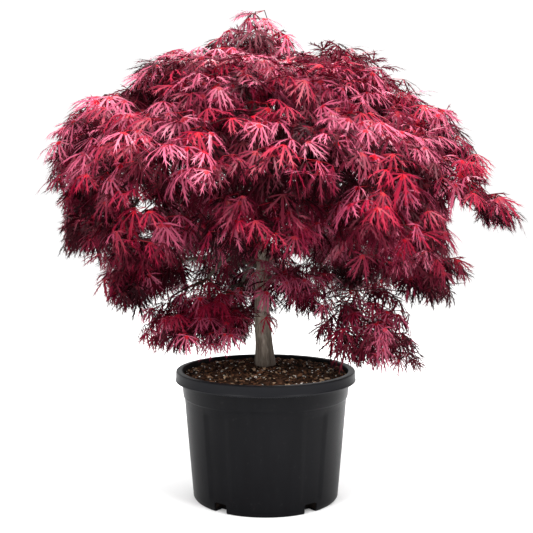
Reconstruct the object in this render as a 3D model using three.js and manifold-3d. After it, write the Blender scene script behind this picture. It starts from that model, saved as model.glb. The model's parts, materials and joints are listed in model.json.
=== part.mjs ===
// A weeping laceleaf maple in a nursery pot: the pot, its potting mix, the trunk, the boughs
// that arch out of the trunk, and the pads of foliage that hang from them as a ragged dome.
// Millimetres, +Z up. The origin is the centre of the pot's flat underside, and the front is -Y.
// Azimuths are in degrees about +Z from +X, so 0 is right, 90 is back, 180 is left, 270 is front.

import * as THREE from "three";
import { mergeVertices } from "three/addons/utils/BufferGeometryUtils.js";
import Module from "manifold-3d";

const wasm = await Module();
wasm.setup();

// ---- Driving dimensions ----

const GAP = 0.3; // clearance between pieces that touch

const pot = {
  height: 297,
  footRadius: 169,
  footChamfer: 4,
  bellyHeight: 235, // the plain tapering wall ends here
  bellyRadius: 189,
  collarStep: 3, // the collar above the wall stands out by this much
  neckRadius: 195, // the collar's radius just under the lip
  lipHeight: 25,
  lipRadius: 210,
  lipRound: 3,
  wall: 3,
  floor: 4,
  segments: 45,
};

const slots = { count: 5, first: 18, width: 33, height: 22, depth: 26 };

const soil = { edgeDrop: 11, crown: 6, seatRadius: 40 };

// The tree has a frame of its own, whose origin is the middle of the trunk's flat foot on the mix.
const trunk = {
  x: -2,
  y: 14,
  height: 730,
  lean: -9, // the stem stands this far to the left above its foot
  leanHeight: 150, // and has leant that far at this height
  sides: 12,
  steps: 13,
  // Radius against the share of the height, falling from the root flare to the leader.
  radii: [
    [0, 24.5],
    [0.03, 22.5],
    [0.09, 19.6],
    [0.2, 17.2],
    [0.38, 13.4],
    [0.55, 10.6],
    [0.75, 7.6],
    [1, 4],
  ],
};

const bough = { sides: 6, steps: 5, tip: 0.42 };

// The tiers of the crown, from the top down. Each of a tier's pads is [azimuth, reach, height of
// its middle, size]. length runs outwards, width round the trunk, depth up and down, and droop is
// how far the outer end hangs. The tier's boughs leave the trunk between the heights from and to.
const tiers = [
  {
    name: "crown",
    length: 262,
    width: 226,
    depth: 102,
    droop: 60,
    bough: { from: 540, to: 600, rise: 60, radius: 8 },
    pads: [
      [8, 220, 676, 1.06],
      [68, 196, 685, 1],
      [129, 198, 685, 1],
      [189, 198, 680, 1],
      [250, 202, 640, 1],
      [310, 202, 640, 1],
    ],
  },
  {
    name: "shoulder",
    length: 260,
    width: 270,
    depth: 118,
    droop: 120,
    bough: { from: 330, to: 480, rise: 110, radius: 10.5 },
    pads: [
      [10, 388, 572, 0.97],
      [55, 368, 563, 1],
      [97, 362, 562, 1],
      [141, 366, 565, 1],
      [184, 368, 563, 1],
      [228, 370, 512, 1],
      [270, 362, 490, 1],
      [313, 370, 510, 1],
      [351, 478, 408, 0.85],
    ],
  },
  {
    name: "skirt",
    length: 165,
    width: 235,
    depth: 230,
    droop: 40,
    pads: [
      [30, 455, 365, 0.96],
      [72, 440, 365, 1],
      [118, 440, 359, 1],
      [158, 430, 362, 0.95],
      [190, 422, 374, 0.94],
      [231, 415, 349, 0.9],
      [268, 392, 350, 0.74],
      [309, 425, 349, 0.95],
    ],
  },
  {
    name: "lower",
    length: 225,
    width: 210,
    depth: 150,
    droop: 90,
    bough: { from: 200, to: 270, rise: 70, radius: 7.5 },
    pads: [
      [350, 365, 245, 0.97],
      [45, 330, 227, 1],
      [100, 320, 220, 1],
      [148, 320, 227, 1],
      [187, 290, 228, 0.94],
      [338, 254, 100, 1.08],
      [207, 192, 128, 0.92],
      [110, 215, 102, 1],
    ],
  },
  {
    name: "inner",
    length: 150,
    width: 140,
    depth: 105,
    droop: 45,
    pads: [
      [322, 125, 200, 1],
      [240, 125, 112, 1],
    ],
  },
];

const apex = { radius: 92, x: -20, height: 756, depth: 104 };

const unevenness = 0.12; // how far a pad's surface swells and shrinks, as a share of its radius

const colours = {
  pot: 0x17181b,
  soil: 0x2b1a12,
  bark: 0x6f655b,
  top: 0xa01a38,
  side: 0x7c1430,
  under: 0x5a1026,
};

// ---- Small tools ----

const radians = THREE.MathUtils.degToRad;

// A number from -1 to 1 that depends only on the two keys.
function scatter(key, salt) {
  const raw = Math.sin(key * 127.1 + salt * 311.7) * 43758.5453;
  return 2 * (raw - Math.floor(raw)) - 1;
}

// The value at t on a line through [t, value] pairs.
function along(pairs, t) {
  const next = pairs.findIndex(([end]) => end >= t);
  if (next < 1) return next === 0 ? pairs[0][1] : pairs.at(-1)[1];
  const [t0, v0] = pairs[next - 1];
  const [t1, v1] = pairs[next];
  return v0 + ((v1 - v0) * (t - t0)) / (t1 - t0);
}

// Moves every vertex of a geometry with move(point).
function reshape(geometry, move) {
  const position = geometry.getAttribute("position");
  const point = new THREE.Vector3();
  for (let i = 0; i < position.count; i++) {
    point.fromBufferAttribute(position, i);
    move(point);
    position.setXYZ(i, point.x, point.y, point.z);
  }
  return geometry;
}

function solidOf(geometry) {
  const bare = geometry.clone();
  bare.deleteAttribute("normal");
  bare.deleteAttribute("uv");
  const merged = mergeVertices(bare, 1e-3);
  const triVerts = new Uint32Array(merged.index.array);
  const vertProperties = merged.attributes.position.array;
  return new wasm.Manifold(new wasm.Mesh({ numProp: 3, vertProperties, triVerts }));
}

function geometryOf(solid) {
  const mesh = solid.getMesh();
  const geometry = new THREE.BufferGeometry();
  geometry.setAttribute("position", new THREE.BufferAttribute(mesh.vertProperties, 3));
  geometry.setIndex(new THREE.BufferAttribute(mesh.triVerts, 1));
  return geometry;
}

// Cutting can leave a solid in several bodies; only the one with the most triangles is kept.
function mainBody(geometry) {
  const corners = geometry.index.array;
  const body = Array.from({ length: geometry.attributes.position.count }, (_, i) => i);
  const find = (i) => {
    while (body[i] !== i) i = body[i] = body[body[i]];
    return i;
  };
  for (let i = 0; i < corners.length; i += 3)
    for (const next of [i + 1, i + 2]) body[find(corners[i])] = find(corners[next]);
  const size = new Map();
  for (const corner of corners) size.set(find(corner), (size.get(find(corner)) ?? 0) + 1);
  const main = [...size].reduce((a, b) => (b[1] > a[1] ? b : a))[0];
  geometry.setIndex(Array.from(corners).filter((corner) => find(corner) === main));
  return mergeVertices(geometry, 1e-3);
}

// ---- Pot and potting mix ----

const lipUnder = pot.height - pot.lipHeight;

function outerRadius(z) {
  return along(
    [
      [0, pot.footRadius],
      [pot.bellyHeight, pot.bellyRadius],
      [pot.bellyHeight + pot.collarStep, pot.bellyRadius + pot.collarStep],
      [lipUnder, pot.neckRadius],
    ],
    z,
  );
}

const innerRadius = (z) => outerRadius(Math.min(z, pot.bellyHeight)) - pot.wall;
const mouthRadius = pot.neckRadius - pot.wall;

function lathe(profile) {
  const points = profile.map(([r, z]) => new THREE.Vector2(r, z));
  return new THREE.LatheGeometry(points, pot.segments).rotateX(Math.PI / 2);
}

// The blocks of space that the drainage slots cut out of the foot.
function slotCutters(grow) {
  const width = slots.width + 2 * grow;
  const height = 2 * (slots.height + grow);
  const depth = slots.depth + 20 + grow;
  return Array.from({ length: slots.count }, (_, i) => {
    const azimuth = radians(slots.first + (i * 360) / slots.count);
    const box = new THREE.BoxGeometry(depth, width, height);
    box.translate(pot.footRadius - slots.depth - grow + depth / 2, 0, 0);
    return solidOf(box.rotateZ(azimuth));
  });
}

function potSolid() {
  const { height, footRadius, footChamfer, bellyHeight, collarStep, lipRadius, lipRound } = pot;
  const profile = [
    [0, 0],
    [footRadius - footChamfer, 0],
    [outerRadius(footChamfer), footChamfer],
    [outerRadius(bellyHeight), bellyHeight],
    [outerRadius(bellyHeight + collarStep), bellyHeight + collarStep],
    [pot.neckRadius, lipUnder],
    [lipRadius - lipRound, lipUnder],
    [lipRadius, lipUnder + lipRound],
    [lipRadius, height - lipRound],
    [lipRadius - lipRound, height],
    [mouthRadius + lipRound, height],
    [mouthRadius, height - lipRound],
    [innerRadius(bellyHeight), bellyHeight],
    [innerRadius(pot.floor), pot.floor],
    [0, pot.floor],
  ];
  return slotCutters(0).reduce((solid, slot) => solid.subtract(slot), solidOf(lathe(profile)));
}

const soilTop = pot.height + soil.crown;

function soilSolid() {
  const edge = pot.height - soil.edgeDrop;
  const edgeRadius = along(
    [
      [pot.bellyHeight, innerRadius(pot.bellyHeight)],
      [pot.height - pot.lipRound, mouthRadius],
    ],
    edge,
  );
  const between = (share) => [
    THREE.MathUtils.lerp(soil.seatRadius, edgeRadius, share),
    soilTop - (soilTop - edge) * share ** 1.6,
  ];
  const profile = [
    [0, pot.floor + GAP],
    [innerRadius(pot.floor) - 2 * GAP, pot.floor + GAP],
    [innerRadius(pot.bellyHeight) - 2 * GAP, pot.bellyHeight],
    [edgeRadius - 2 * GAP, edge],
    between(0.66),
    between(0.33),
    [soil.seatRadius, soilTop],
    [0, soilTop],
  ];
  return slotCutters(GAP).reduce((solid, slot) => solid.subtract(slot), solidOf(lathe(profile)));
}

// ---- Trunk and boughs ----

// The middle of the trunk at a height: it leans over its first stretch and then stands up.
function trunkMiddle(z) {
  const leant = THREE.MathUtils.smoothstep(z, 0, trunk.leanHeight);
  const waver = Math.sin(z / 105) * 3;
  return new THREE.Vector3((trunk.lean + waver) * leant, 0, z);
}

// An upright cylinder bent along a curve, with its radius given along the way.
function limb(curve, radiusAt, sides, steps, grow) {
  const frames = curve.computeFrenetFrames(steps);
  const tube = new THREE.CylinderGeometry(1, 1, 1, sides, steps).rotateX(Math.PI / 2);
  return reshape(tube, (point) => {
    const share = point.z + 0.5;
    const ring = Math.round(share * steps);
    const radius = radiusAt(share) + grow;
    const middle = curve.getPointAt(share);
    middle.addScaledVector(frames.normals[ring], point.x * radius);
    middle.addScaledVector(frames.binormals[ring], point.y * radius);
    middle.addScaledVector(frames.tangents[ring], (2 * share - 1) * grow);
    point.copy(middle);
  });
}

function trunkSolid(grow) {
  const tube = new THREE.CylinderGeometry(1, 1, 1, trunk.sides, trunk.steps);
  tube.rotateX(Math.PI / 2);
  reshape(tube, (point) => {
    const share = (point.z + 0.5) ** 1.6; // rings crowd towards the foot, where the flare is
    const buttress = 1 + 0.06 * Math.sin(3 * Math.atan2(point.y, point.x)) * (1 - share) ** 6;
    const radius = along(trunk.radii, share) * buttress + grow;
    const middle = trunkMiddle(trunk.height * share);
    point.multiplyScalar(radius).setZ(grow * Math.sign(point.z)).add(middle);
  });
  return solidOf(tube);
}

// The point that stands out from the trunk's line at an azimuth.
function outward(angle, reach, z) {
  return new THREE.Vector3(reach * Math.cos(angle), reach * Math.sin(angle), z);
}

// A bough leaves the trunk, rises as it runs out, and comes down to the inside of its pad.
function boughSolid(pad, grow) {
  const { from, to, rise, radius } = pad.bough;
  const root = THREE.MathUtils.lerp(from, to, pad.turn);
  const skin = 0.8 * along(trunk.radii, root / trunk.height);
  const start = outward(pad.angle, skin, root).add(trunkMiddle(root).setZ(0));
  const end = outward(pad.angle, pad.reach, pad.height - 0.15 * pad.depth);
  const top = Math.max(root, end.z) + 0.5 * rise;
  const quarter = outward(pad.angle, 0.3 * pad.reach, (root + top) / 2 + 0.2 * rise);
  const curve = new THREE.CubicBezierCurve3(
    start,
    quarter,
    outward(pad.angle, 0.68 * pad.reach, top),
    end,
  );
  const girth = (share) => radius * THREE.MathUtils.lerp(1, bough.tip, share);
  return solidOf(limb(curve, girth, bough.sides, bough.steps, grow));
}

// ---- Pads of foliage ----

// A ball with a swelling, uneven surface: the point is moved out or in along its own direction.
function roughen(point, key) {
  const [a, b, c] = [1, 2, 3].map((salt) => Math.PI * scatter(key, salt));
  const swell =
    Math.sin(2.6 * point.x + 3.1 * point.y + a) +
    0.8 * Math.sin(4.3 * point.y - 3.4 * point.z + b) +
    0.6 * Math.sin(5.2 * point.z + 4.1 * point.x + c);
  point.multiplyScalar(1 + (unevenness * swell) / 1.6);
}

// A pad bends down towards its outer end and wraps a little round the trunk.
function padSolid(pad, grow) {
  const ball = new THREE.OctahedronGeometry(1, 3);
  const half = (size) => size / 2 + grow;
  const stem = trunkMiddle(pad.height).x;
  reshape(ball, (point) => {
    roughen(point, pad.key);
    const outer = (point.x + 1) / 2;
    const side = point.y * half(pad.width);
    const run = pad.reach + point.x * half(pad.length) - side ** 2 / (2.6 * pad.reach);
    const z = pad.height + point.z * half(pad.depth) - pad.droop * (outer ** 2 - 0.25);
    point.copy(outward(pad.angle, run, z)).add(outward(pad.angle + Math.PI / 2, side, 0));
    point.x += stem;
  });
  return solidOf(ball);
}

function apexSolid(grow) {
  const size = new THREE.Vector3(apex.radius, apex.radius, apex.depth / 2).addScalar(grow);
  const ball = reshape(new THREE.OctahedronGeometry(1, 3), (point) => {
    roughen(point, 3);
    point.multiply(size);
  });
  return solidOf(ball.translate(apex.x, 0, apex.height));
}

// Every pad of every tier. turn spreads a tier's boughs up the trunk by the golden section, so
// that neighbours leave it at different heights.
function padRows() {
  return tiers.flatMap((tier, level) =>
    tier.pads.map(([azimuth, reach, height, size], i) => {
      const key = 10 * level + i + 1;
      return {
        ...tier,
        key,
        level,
        name: `${tier.name}_foliage_${i + 1}`,
        boughName: `${tier.name}_bough_${i + 1}`,
        turn: (i * 0.618) % 1,
        angle: radians(azimuth),
        reach,
        height,
        length: tier.length * size * (1 + 0.06 * scatter(key, 9)),
        width: tier.width * size * (1 + 0.08 * scatter(key, 10)),
        depth: tier.depth * size,
        droop: tier.droop * size,
      };
    }),
  );
}

// ---- Assembly ----

const materials = {
  pot: new THREE.MeshStandardMaterial({ color: colours.pot, roughness: 0.5, metalness: 0 }),
  soil: new THREE.MeshStandardMaterial({ color: colours.soil, roughness: 1, metalness: 0 }),
  bark: new THREE.MeshStandardMaterial({ color: colours.bark, roughness: 0.9, metalness: 0 }),
};
for (const name of ["top", "side", "under"])
  materials[name] = new THREE.MeshStandardMaterial({ color: colours[name], roughness: 0.6 });
const tierMaterial = ["top", "top", "side", "under", "under"];

const group = new THREE.Group();
const container = new THREE.Group();
const tree = new THREE.Group();
tree.position.set(trunk.x, trunk.y, soilTop + GAP);
group.add(container, tree);

function add(parent, name, solid, material) {
  const mesh = new THREE.Mesh(mainBody(geometryOf(solid)), materials[material]);
  mesh.name = name;
  parent.add(mesh);
}

add(container, "pot", potSolid(), "pot");
add(container, "potting_mix", soilSolid(), "soil");
add(tree, "trunk", trunkSolid(0), "bark");

// Each new piece gives way to the room of every piece before it: the trunk stays whole, the pads
// are cut round it and round each other, and a bough ends where it meets a pad.
const rooms = [trunkSolid(GAP)];
function addCut(name, make, material) {
  const solid = rooms.reduce((rest, room) => rest.subtract(room), make(0));
  add(tree, name, solid, material);
  rooms.push(make(GAP));
}

addCut("apex_foliage", apexSolid, "top");
const pads = padRows();
for (const pad of pads) addCut(pad.name, (grow) => padSolid(pad, grow), tierMaterial[pad.level]);
for (const pad of pads.filter((row) => row.bough))
  addCut(pad.boughName, (grow) => boughSolid(pad, grow), "bark");

export default group;
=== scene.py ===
# A weeping laceleaf maple in a nursery pot, dressed round the fixed CAD frame.
import json
import math

import bmesh
import bpy
import numpy as np
from mathutils import Matrix, Vector, noise
from mathutils.bvhtree import BVHTree

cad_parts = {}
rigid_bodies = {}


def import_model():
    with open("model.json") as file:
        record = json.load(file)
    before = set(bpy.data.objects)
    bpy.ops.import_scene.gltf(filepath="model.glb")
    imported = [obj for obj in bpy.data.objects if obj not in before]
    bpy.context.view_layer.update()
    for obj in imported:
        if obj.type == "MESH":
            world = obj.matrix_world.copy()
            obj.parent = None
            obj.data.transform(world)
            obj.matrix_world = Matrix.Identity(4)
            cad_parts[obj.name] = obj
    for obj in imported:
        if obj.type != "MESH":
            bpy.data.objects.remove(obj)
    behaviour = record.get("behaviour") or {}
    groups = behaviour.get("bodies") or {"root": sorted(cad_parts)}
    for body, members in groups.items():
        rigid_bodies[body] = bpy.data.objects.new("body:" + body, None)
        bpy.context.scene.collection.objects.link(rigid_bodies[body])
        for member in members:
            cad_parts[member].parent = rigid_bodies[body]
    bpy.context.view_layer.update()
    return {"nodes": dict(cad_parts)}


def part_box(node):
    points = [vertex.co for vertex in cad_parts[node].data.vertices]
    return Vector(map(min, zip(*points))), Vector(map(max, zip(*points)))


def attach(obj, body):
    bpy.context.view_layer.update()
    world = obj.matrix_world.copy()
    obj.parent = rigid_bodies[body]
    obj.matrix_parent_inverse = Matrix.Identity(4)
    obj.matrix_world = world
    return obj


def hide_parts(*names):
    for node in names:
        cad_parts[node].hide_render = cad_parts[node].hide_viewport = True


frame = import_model()
scene = bpy.context.scene
up = Vector((0, 0, 1))
noise.seed_set(7)  # noise_vector's offsets, which are otherwise new on each run


def lerp(a, b, t):
    return a + (b - a) * t


def smooth(low, high, x):
    t = min(max((x - low) / (high - low), 0), 1)
    return t * t * (3 - 2 * t)


def along(pairs, t):  # the value at t on a line through (t, value) pairs
    return float(np.interp(t, [p[0] for p in pairs], [p[1] for p in pairs]))


# The camera, the lights and the floor.

camera = {"place": (0.002, -2.05, 0.675), "pitch": 3.88, "focal": 59.84, "toStem": 2.064}
lights = [  # name, place, target, width, height, watts
    ("overhead", (0.45, -0.85, 3.0), (0, 0, 0.7), 1.6, 1.3, 185),
    ("frontLeft", (-2.0, -2.4, 2.4), (0, 0, 0.8), 1.0, 1.2, 62),
    ("frontRight", (2.1, -2.2, 2.5), (0, 0, 0.8), 1.0, 1.2, 62),
    ("back", (0.3, 2.4, 2.6), (0, 0, 0.8), 1.8, 1.2, 50),
]
surround = {"colour": (1.0, 1.0, 1.0), "strength": 1.02}
floor = {"size": 30.0, "colour": (0.99, 0.99, 0.99)}


def makeCamera():
    data = bpy.data.cameras.new("camera")
    data.lens = camera["focal"]
    obj = bpy.data.objects.new("camera", data)
    obj.location = camera["place"]
    obj.rotation_euler = (math.radians(90 - camera["pitch"]), 0, 0)
    scene.collection.objects.link(obj)
    scene.camera = obj


def makeLights():
    for name, place, target, width, height, watts in lights:
        data = bpy.data.lights.new(name, "AREA")
        data.shape = "RECTANGLE"
        data.size, data.size_y, data.energy = width, height, watts
        obj = bpy.data.objects.new(name, data)
        obj.location = place
        aim = Vector(target) - Vector(place)
        obj.rotation_euler = aim.to_track_quat("-Z", "Y").to_euler()
        scene.collection.objects.link(obj)
    world = bpy.data.worlds.new("surround")
    world.use_nodes = True
    background = world.node_tree.nodes["Background"]
    background.inputs["Color"].default_value = (*surround["colour"], 1)
    background.inputs["Strength"].default_value = surround["strength"]
    scene.world = world
    scene.view_settings.view_transform = "Standard"


# Shader nodes as Python expressions.


class Wire:
    def __init__(self, tree, socket):
        self.tree, self.socket = tree, socket

    def math(self, operation, other=None, swap=False):
        sides = [self] if other is None else [other, self] if swap else [self, other]
        node = self.tree.nodes.new("ShaderNodeMath")
        node.operation = operation
        for slot, side in zip(node.inputs, sides):
            plug(self.tree, slot, side)
        return Wire(self.tree, node.outputs[0])

    def __add__(self, other):
        return self.math("ADD", other)

    __radd__ = __add__

    def __mul__(self, other):
        return self.math("MULTIPLY", other)

    __rmul__ = __mul__

    def __sub__(self, other):
        return self.math("SUBTRACT", other)

    def __rsub__(self, other):
        return self.math("SUBTRACT", other, swap=True)

    def __pow__(self, other):
        return self.math("POWER", other)


def plug(tree, slot, value):
    if isinstance(value, Wire):
        tree.links.new(value.socket, slot)
    elif isinstance(value, tuple) and slot.type == "RGBA" and len(value) == 3:
        slot.default_value = (*value, 1)
    else:
        slot.default_value = value


class Finish:
    def __init__(self, name, roughness=0.5, colour=(0.5, 0.5, 0.5), specular=0.5):
        self.material = bpy.data.materials.new(name)
        self.material.use_nodes = True
        self.material.diffuse_color = (*colour, 1)
        self.tree = self.material.node_tree
        self.shader = self.tree.nodes["Principled BSDF"]
        self.set(Roughness=roughness)
        self.set(**{"Base Color": colour, "Specular IOR Level": specular})

    def set(self, **values):
        for name, value in values.items():
            plug(self.tree, self.shader.inputs[name], value)

    def node(self, kind, settings=None, output=0, **values):
        node = self.tree.nodes.new("ShaderNode" + kind)
        for name, value in (settings or {}).items():
            if name == "stops":
                ramp = node.color_ramp
                while len(ramp.elements) < len(value):
                    ramp.elements.new(0.5)
                for element, (place, colour) in zip(ramp.elements, value):
                    element.position, element.color = place, (*colour, 1)
            else:
                setattr(node, name, value)
        for name, value in values.items():
            name = name.replace("_", " ")
            numbered = name[0] == "i" and name[1:].isdigit()  # i6 is the seventh socket
            plug(self.tree, node.inputs[int(name[1:]) if numbered else name], value)
        return Wire(self.tree, node.outputs[output])

    def place(self, scale=(1, 1, 1)):
        spot = self.node("TexCoord", output=3)
        return self.node("Mapping", Vector=spot, Scale=scale)

    def noise(self, scale, detail=3.0, roughness=0.55, vector=None):
        vector = vector or self.place()
        return self.node("TexNoise", Vector=vector, Scale=scale, Detail=detail, Roughness=roughness)

    def ramp(self, factor, *stops):
        return self.node("ValToRGB", {"stops": stops}, Fac=factor)

    def mix(self, factor, a, b, blend="MIX"):
        settings = {"data_type": "RGBA", "blend_type": blend}
        return self.node("Mix", settings, output=2, i0=factor, i6=a, i7=b)

    def bump(self, height, distance, strength=1.0):
        self.set(Normal=self.node("Bump", Height=height, Distance=distance, Strength=strength))


def grey(value):
    return (value, value, value)


def potFinish():
    finish = Finish("potPlastic", 0.38, (0.0045, 0.0045, 0.0054), 0.05)
    cloud = finish.noise(9.0, 4.0)
    streak = finish.noise(1.0, 4.0, vector=finish.place((55, 55, 3.2)))
    dust = finish.noise(85.0, 6.0, 0.7)
    tone = cloud * 0.5 + streak * 0.5
    colour = finish.ramp(tone, (0.36, (0.0023, 0.0023, 0.0029)), (0.66, (0.0043, 0.0043, 0.0052)))
    speck = finish.ramp(dust, (0.6, grey(0)), (0.74, grey(1)))
    colour = finish.mix(speck * 0.3, colour, (0.03, 0.029, 0.028))
    height = finish.node("SeparateXYZ", output=2, Vector=finish.place())
    paintedLipSheen = finish.ramp(height, (0.2715, grey(0)), (0.273, grey(1)))  # the lip and rim top are painted paler and bluer: a painted sheen where they face up to the light
    colour = finish.mix(paintedLipSheen, colour, (0.0092, 0.0093, 0.0107))
    finish.set(**{"Base Color": colour, "Roughness": tone * 0.2 + dust * 0.12 + 0.19})
    finish.bump(finish.noise(420.0, 3.0) * 0.6 + streak * 0.5, 0.0004, 0.5)
    return finish.material


def mixFinish():
    finish = Finish("pottingMix", 0.95, (0.05, 0.025, 0.015), 0.1)
    coarse = finish.noise(70.0, 6.0, 0.65)
    fine = finish.noise(310.0, 4.0, 0.7)
    stops = ((0.33, (0.005, 0.003, 0.002)), (0.5, (0.032, 0.015, 0.008)), (0.7, (0.13, 0.06, 0.03)))
    colour = finish.ramp(coarse * 0.55 + fine * 0.45, *stops)
    depth = finish.node("SeparateXYZ", output=2, Vector=finish.place())
    # Below 0.26 m the mix is painted darker, near black below 0.2 m: painted shade deep in the pot,
    # seen through the slots.
    paintedDeepShade = finish.ramp(depth, (0.2, grey(1)), (0.26, grey(0)))
    colour = finish.mix(paintedDeepShade * 0.9, colour, (0.004, 0.003, 0.0025))
    finish.set(**{"Base Color": colour, "Roughness": 1.0 - fine * 0.25})
    finish.bump(coarse * 0.6 + fine * 0.6, 0.004, 0.9)
    return finish.material


def barkFinish(name, shade):  # shade is how light the bark is: the boughs are darker, partly for their younger bark and partly as painted shade inside the crown
    finish = Finish(name, 0.85, (0.11 * shade, 0.1 * shade, 0.085 * shade), 0.15)
    furrow = finish.noise(1.0, 6.0, 0.62, finish.place((190, 190, 26)))
    plate = finish.noise(1.0, 4.0, 0.6, finish.place((60, 60, 14)))
    lichen = finish.noise(42.0, 5.0, 0.6)
    stops = ((0.3, (0.055, 0.042, 0.033)), (0.5, (0.17, 0.138, 0.11)), (0.72, (0.42, 0.36, 0.3)))
    stops = [(place, tuple(c * shade for c in colour)) for place, colour in stops]
    colour = finish.ramp(furrow * 0.6 + plate * 0.4, *stops)
    pale = finish.ramp(lichen, (0.56, grey(0)), (0.7, grey(1)))
    colour = finish.mix(pale * 0.4, colour, (0.27 * shade, 0.26 * shade, 0.225 * shade))
    finish.set(**{"Base Color": colour, "Roughness": 0.95 - plate * 0.25})
    finish.bump(furrow * 0.8 + plate * 0.4, 0.0022, 0.8)
    return finish.material


def floorFinish():
    finish = Finish("studioFloor", 0.9, floor["colour"], 0.1)
    return finish.material


plainTints = {  # name: (colour, roughness, specular)
    "twigYoung": ((0.04, 0.005, 0.007), 0.5, 0.15),
    "twigOld": ((0.028, 0.016, 0.012), 0.75, 0.1),
    "stalkRed": ((0.36, 0.0028, 0.014), 0.42, 0.14),
    "stalkWine": ((0.19, 0.0028, 0.012), 0.45, 0.12),
    # stalkDark is the stalk's red painted dark for sprays in shade: painted shade.
    "stalkDark": ((0.05, 0.0022, 0.006), 0.5, 0.08),
    "leafCrimson": ((0.2, 0.0036, 0.02), 0.42, 0.1),
    "leafCarmine": ((0.165, 0.0036, 0.019), 0.42, 0.12),
    # The rose and mauve leaf tints are the red lightened to pink and mauve: a painted sheen for sprays
    # in the light.
    "leafRose": ((0.32, 0.053, 0.1), 0.4, 0.22),
    "leafMauve": ((0.235, 0.032, 0.068), 0.42, 0.2),
    "leafWine": ((0.11, 0.0032, 0.017), 0.45, 0.12),
    # The claret, maroon and shade leaf tints are darker copies dealt to sprays with little light:
    # painted shade, near black for the deepest.
    "leafClaret": ((0.055, 0.0017, 0.008), 0.48, 0.08),
    "leafMaroon": ((0.024, 0.0012, 0.004), 0.52, 0.05),
    "leafShade": ((0.01, 0.0007, 0.002), 0.55, 0.03),
    "crumbDark": ((0.006, 0.0035, 0.0027), 0.95, 0.1),
    "crumbBrown": ((0.055, 0.026, 0.015), 0.95, 0.1),
    "chipRust": ((0.15, 0.068, 0.034), 0.85, 0.2),
    "chipTan": ((0.4, 0.27, 0.17), 0.85, 0.2),
    "perlite": ((0.72, 0.69, 0.64), 0.8, 0.4),
}
tint = {}
for name, (colour, roughness, specular) in plainTints.items():
    tint[name] = Finish(name, roughness, colour, specular).material


# Making and handing over pieces.


def finishPiece(name, mesh, materials, nodes, flat=False):
    for material in materials:
        mesh.materials.append(material)
    if not flat:
        mesh.shade_smooth()
    obj = bpy.data.objects.new(name, mesh)
    scene.collection.objects.link(obj)
    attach(obj, "root")
    if nodes:
        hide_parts(*nodes)
    return obj


def meshOf(bm, name):
    bmesh.ops.remove_doubles(bm, verts=bm.verts, dist=1e-6)
    bmesh.ops.recalc_face_normals(bm, faces=bm.faces)
    mesh = bpy.data.meshes.new(name)
    bm.to_mesh(mesh)
    bm.free()
    return mesh


def joinedMesh(name, points, faces, slots):  # many small things as one mesh, from arrays
    mesh = bpy.data.meshes.new(name)
    mesh.vertices.add(len(points))
    mesh.vertices.foreach_set("co", points.astype(np.float32).ravel())
    size = faces.shape[1]
    mesh.loops.add(faces.size)
    mesh.loops.foreach_set("vertex_index", faces.astype(np.int32).ravel())
    mesh.polygons.add(len(faces))
    mesh.polygons.foreach_set("loop_start", np.arange(0, faces.size, size, dtype=np.int32))
    mesh.polygons.foreach_set("material_index", slots.astype(np.int32))
    mesh.update(calc_edges=True)
    return mesh


def spun(profile, steps):
    bm = bmesh.new()
    verts = [bm.verts.new((r, 0, z)) for r, z in profile]
    edges = [bm.edges.new(pair) for pair in zip(verts, verts[1:])]
    whole = {"cent": (0, 0, 0), "angle": math.tau, "use_merge": True}
    bmesh.ops.spin(bm, geom=verts + edges, axis=up, steps=steps, **whole)
    bmesh.ops.remove_doubles(bm, verts=bm.verts, dist=1e-5)
    return bm


def cutAway(obj, cutters):  # boolean cuts, baked into the mesh
    for cutter in cutters:
        cut = obj.modifiers.new("cut", "BOOLEAN")
        cut.operation, cut.solver, cut.object = "DIFFERENCE", "EXACT", cutter
    graph = bpy.context.evaluated_depsgraph_get()
    mesh = bpy.data.meshes.new_from_object(obj.evaluated_get(graph))
    obj.modifiers.clear()
    obj.data = mesh


# The pot.

pot = {
    "height": 0.297,
    "foot": 0.169,
    "bellyHeight": 0.235,
    "belly": 0.189,
    "neck": 0.195,
    "lip": 0.21,
    "lipHeight": 0.025,
    "wall": 0.003,
    "floor": 0.004,
    "steps": 180,
    "slotFirst": 18,
    "slotCount": 5,
    "slotSize": (0.033, 0.022, 0.026),
    "slotRound": 0.004,
    "panelHalf": 8.0,
    "panelDepth": 0.0022,
    "panelFoot": 0.025,
    "panelTop": 0.22,
    "rings": (0.012, 0.024, 0.028, 0.032, 0.08, 0.13, 0.18, 0.214, 0.218, 0.222),
}


def slotCutters(grow):
    width, height, depth = (size + grow for size in pot["slotSize"])
    cutters = []
    for i in range(pot["slotCount"]):
        bm = bmesh.new()
        bmesh.ops.create_cube(bm, size=1)
        bmesh.ops.scale(bm, vec=(depth + 0.02, width + grow, 2 * height), verts=bm.verts)
        edges = [e for e in bm.edges if all(v.co.z > 0 for v in e.verts)]
        edges = [e for e in edges if abs(e.verts[0].co.x - e.verts[1].co.x) > 0.01]
        rounding = {"affect": "EDGES", "segments": 3, "profile": 0.5, "material": -1}
        bmesh.ops.bevel(bm, geom=edges, offset=pot["slotRound"], **rounding)
        bmesh.ops.translate(bm, vec=(pot["foot"] - depth / 2 + 0.01, 0, 0), verts=bm.verts)
        turn = Matrix.Rotation(math.radians(pot["slotFirst"] + i * 360 / pot["slotCount"]), 4, "Z")
        bmesh.ops.transform(bm, matrix=turn, verts=bm.verts)
        mesh = meshOf(bm, "slotCutter")
        cutter = bpy.data.objects.new("slotCutter", mesh)
        scene.collection.objects.link(cutter)
        cutters.append(cutter)
    return cutters


def dropCutters(cutters):
    for cutter in cutters:
        mesh = cutter.data
        bpy.data.objects.remove(cutter)
        bpy.data.meshes.remove(mesh)


def wallRadius(z):
    pairs = [(0, pot["foot"]), (pot["bellyHeight"], pot["belly"])]
    return along(pairs, z)


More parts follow.
